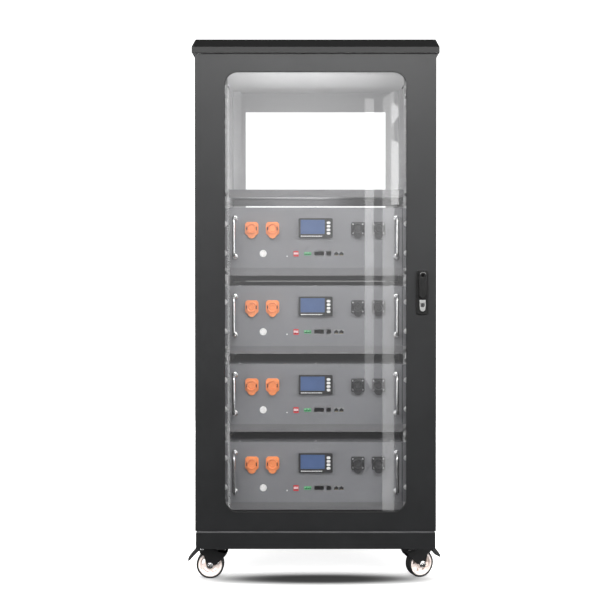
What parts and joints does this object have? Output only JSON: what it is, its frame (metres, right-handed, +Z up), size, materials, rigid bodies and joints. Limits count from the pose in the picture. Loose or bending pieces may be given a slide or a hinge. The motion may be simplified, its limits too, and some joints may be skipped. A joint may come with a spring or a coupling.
{
  "type": "battery rack cabinet",
  "caption": "Tall black battery cabinet on casters: a framed glass door with a swing handle, and rack-mounted battery modules with orange and black sockets on shelves behind it.",
  "frame": {"origin": "on the floor, under the centre of the cabinet's outline", "axes": "+Z up, -Y towards the door, +X to the right as seen from the door"},
  "size_m": [0.6472, 0.626, 1.36],
  "materials": {
    "black_powder": "fine satin black powder coat",
    "black_gloss": "smooth black enamel",
    "rack_steel": "dark grey painted steel",
    "module_paint": "dark grey satin powder coat",
    "glass": "toughened glass, clear with a faint grey tint",
    "gasket_rubber": "matt black rubber",
    "chrome": "bright chrome plate",
    "zinc_screw": "bright zinc-plated steel",
    "satin_steel": "satin steel",
    "orange_plastic": "moulded orange plastic",
    "black_plastic": "moulded black plastic",
    "screen": "blue-grey backlit screen",
    "white_plastic": "moulded white plastic",
    "red_plastic": "moulded red plastic",
    "green_plastic": "moulded green plastic",
    "cell_case": "wrapped aluminium cell case",
    "board": "green circuit board",
    "caster_steel": "black painted pressed steel",
    "tread": "black rubber tread",
    "rim_plastic": "pale cream-pink nylon"
  },
  "bodies": {
    "cabinet": {"base_frame": "black_powder", "front_frame": "black_powder", "rear_frame": "black_powder", "depth_beams": "rack_steel", "left_side_panel": "black_powder", "right_side_panel": "black_powder", "top_cover": "black_gloss", "mounting_rails": "rack_steel", "shelves": "rack_steel", "rack_screws": "zinc_screw", "hinge_pins": "satin_steel", "caster_plates": "caster_steel", "module_case_1": "module_paint", "module_case_2": "module_paint", "module_case_3": "module_paint", "module_case_4": "module_paint", "module_lids": "module_paint", "front_panels": "module_paint", "module_handles": "chrome", "positive_sockets": "orange_plastic", "negative_sockets": "black_plastic", "socket_screws": "zinc_screw", "display_units": "black_plastic", "display_screens": "screen", "button_bezels": "chrome", "dip_switches": "red_plastic", "signal_terminals": "green_plastic", "network_ports": "black_plastic", "cell_packs": "cell_case", "bms_boards": "board"},
    "door": {"door_frame": "black_powder", "window_gasket": "gasket_rubber", "door_glass": "glass", "glass_clamps": "rack_steel", "handle_plate": "black_plastic", "lock_shield": "satin_steel"},
    "handle_hub": {"handle_hub": "satin_steel", "latch_cam": "zinc_screw"},
    "handle_lever": {"handle_lever": "black_plastic"},
    "lock_plug": {"lock_plug": "satin_steel"},
    "fork_front_left": {"fork_front_left": "caster_steel"},
    "wheel_front_left": {"tyre_front_left": "tread", "rim_front_left": "rim_plastic"},
    "pedal_front_left": {"brake_pedal_front_left": "caster_steel"},
    "fork_front_right": {"fork_front_right": "caster_steel"},
    "wheel_front_right": {"tyre_front_right": "tread", "rim_front_right": "rim_plastic"},
    "pedal_front_right": {"brake_pedal_front_right": "caster_steel"},
    "fork_rear_left": {"fork_rear_left": "caster_steel"},
    "wheel_rear_left": {"wheel_rear_left": "tread"},
    "fork_rear_right": {"fork_rear_right": "caster_steel"},
    "wheel_rear_right": {"wheel_rear_right": "tread"},
    "power_button_1": {"power_button_1": "white_plastic"},
    "keypad_1": {"keypad_1": "white_plastic"},
    "power_button_2": {"power_button_2": "white_plastic"},
    "keypad_2": {"keypad_2": "white_plastic"},
    "power_button_3": {"power_button_3": "white_plastic"},
    "keypad_3": {"keypad_3": "white_plastic"},
    "power_button_4": {"power_button_4": "white_plastic"},
    "keypad_4": {"keypad_4": "white_plastic"}
  },
  "joints": [
    {"name": "door_hinge", "type": "hinge", "parent": "cabinet", "child": "door", "pos_m": [-0.29, -0.285, 0.73], "axis": [0, 0, -1], "range_deg": [0, 125]},
    {"name": "handle_turn", "type": "hinge", "parent": "door", "child": "handle_hub", "pos_m": [0.265, -0.3, 0.768], "axis": [0, 1, 0], "range_deg": [0, 90]},
    {"name": "lever_lift", "type": "hinge", "parent": "handle_hub", "child": "handle_lever", "pos_m": [0.265, -0.3085, 0.7785], "axis": [-1, 0, 0], "range_deg": [0, 70]},
    {"name": "lock_turn", "type": "hinge", "parent": "door", "child": "lock_plug", "pos_m": [0.265, -0.3, 0.7], "axis": [0, 1, 0], "range_deg": [0, 90]},
    {"name": "swivel_front_left", "type": "hinge", "parent": "cabinet", "child": "fork_front_left", "pos_m": [-0.241, -0.226, 0.084], "axis": [0, 0, 1], "continuous": true},
    {"name": "roll_front_left", "type": "hinge", "parent": "fork_front_left", "child": "wheel_front_left", "pos_m": [-0.269, -0.226, 0.035], "axis": [0, -1, 0], "continuous": true},
    {"name": "brake_front_left", "type": "hinge", "parent": "fork_front_left", "child": "pedal_front_left", "pos_m": [-0.289, -0.226, 0.076], "axis": [0, -1, 0], "range_deg": [0, 18]},
    {"name": "swivel_front_right", "type": "hinge", "parent": "cabinet", "child": "fork_front_right", "pos_m": [0.241, -0.226, 0.084], "axis": [0, 0, 1], "continuous": true},
    {"name": "roll_front_right", "type": "hinge", "parent": "fork_front_right", "child": "wheel_front_right", "pos_m": [0.26658, -0.21461, 0.035], "axis": [-0.4067, 0.9135, 0], "continuous": true},
    {"name": "brake_front_right", "type": "hinge", "parent": "fork_front_right", "child": "pedal_front_right", "pos_m": [0.28485, -0.20648, 0.076], "axis": [-0.4067, 0.9135, 0], "range_deg": [0, 18]},
    {"name": "swivel_rear_left", "type": "hinge", "parent": "cabinet", "child": "fork_rear_left", "pos_m": [-0.241, 0.226, 0.084], "axis": [0, 0, 1], "continuous": true},
    {"name": "roll_rear_left", "type": "hinge", "parent": "fork_rear_left", "child": "wheel_rear_left", "pos_m": [-0.26731, 0.23558, 0.035], "axis": [-0.342, -0.9397, 0], "continuous": true},
    {"name": "swivel_rear_right", "type": "hinge", "parent": "cabinet", "child": "fork_rear_right", "pos_m": [0.241, 0.226, 0.084], "axis": [0, 0, 1], "continuous": true},
    {"name": "roll_rear_right", "type": "hinge", "parent": "fork_rear_right", "child": "wheel_rear_right", "pos_m": [0.26805, 0.23325, 0.035], "axis": [-0.2588, 0.9659, 0], "continuous": true},
    {"name": "power_press_1", "type": "slide", "parent": "cabinet", "child": "power_button_1", "axis": [0, 1, 0], "range_m": [0, 0.0015], "stiffness_N_per_m": 800},
    {"name": "keypad_press_1", "type": "slide", "parent": "cabinet", "child": "keypad_1", "axis": [0, 1, 0], "range_m": [0, 0.0008], "stiffness_N_per_m": 1200},
    {"name": "power_press_2", "type": "slide", "parent": "cabinet", "child": "power_button_2", "axis": [0, 1, 0], "range_m": [0, 0.0015], "stiffness_N_per_m": 800},
    {"name": "keypad_press_2", "type": "slide", "parent": "cabinet", "child": "keypad_2", "axis": [0, 1, 0], "range_m": [0, 0.0008], "stiffness_N_per_m": 1200},
    {"name": "power_press_3", "type": "slide", "parent": "cabinet", "child": "power_button_3", "axis": [0, 1, 0], "range_m": [0, 0.0015], "stiffness_N_per_m": 800},
    {"name": "keypad_press_3", "type": "slide", "parent": "cabinet", "child": "keypad_3", "axis": [0, 1, 0], "range_m": [0, 0.0008], "stiffness_N_per_m": 1200},
    {"name": "power_press_4", "type": "slide", "parent": "cabinet", "child": "power_button_4", "axis": [0, 1, 0], "range_m": [0, 0.0015], "stiffness_N_per_m": 800},
    {"name": "keypad_press_4", "type": "slide", "parent": "cabinet", "child": "keypad_4", "axis": [0, 1, 0], "range_m": [0, 0.0008], "stiffness_N_per_m": 1200}
  ]
}
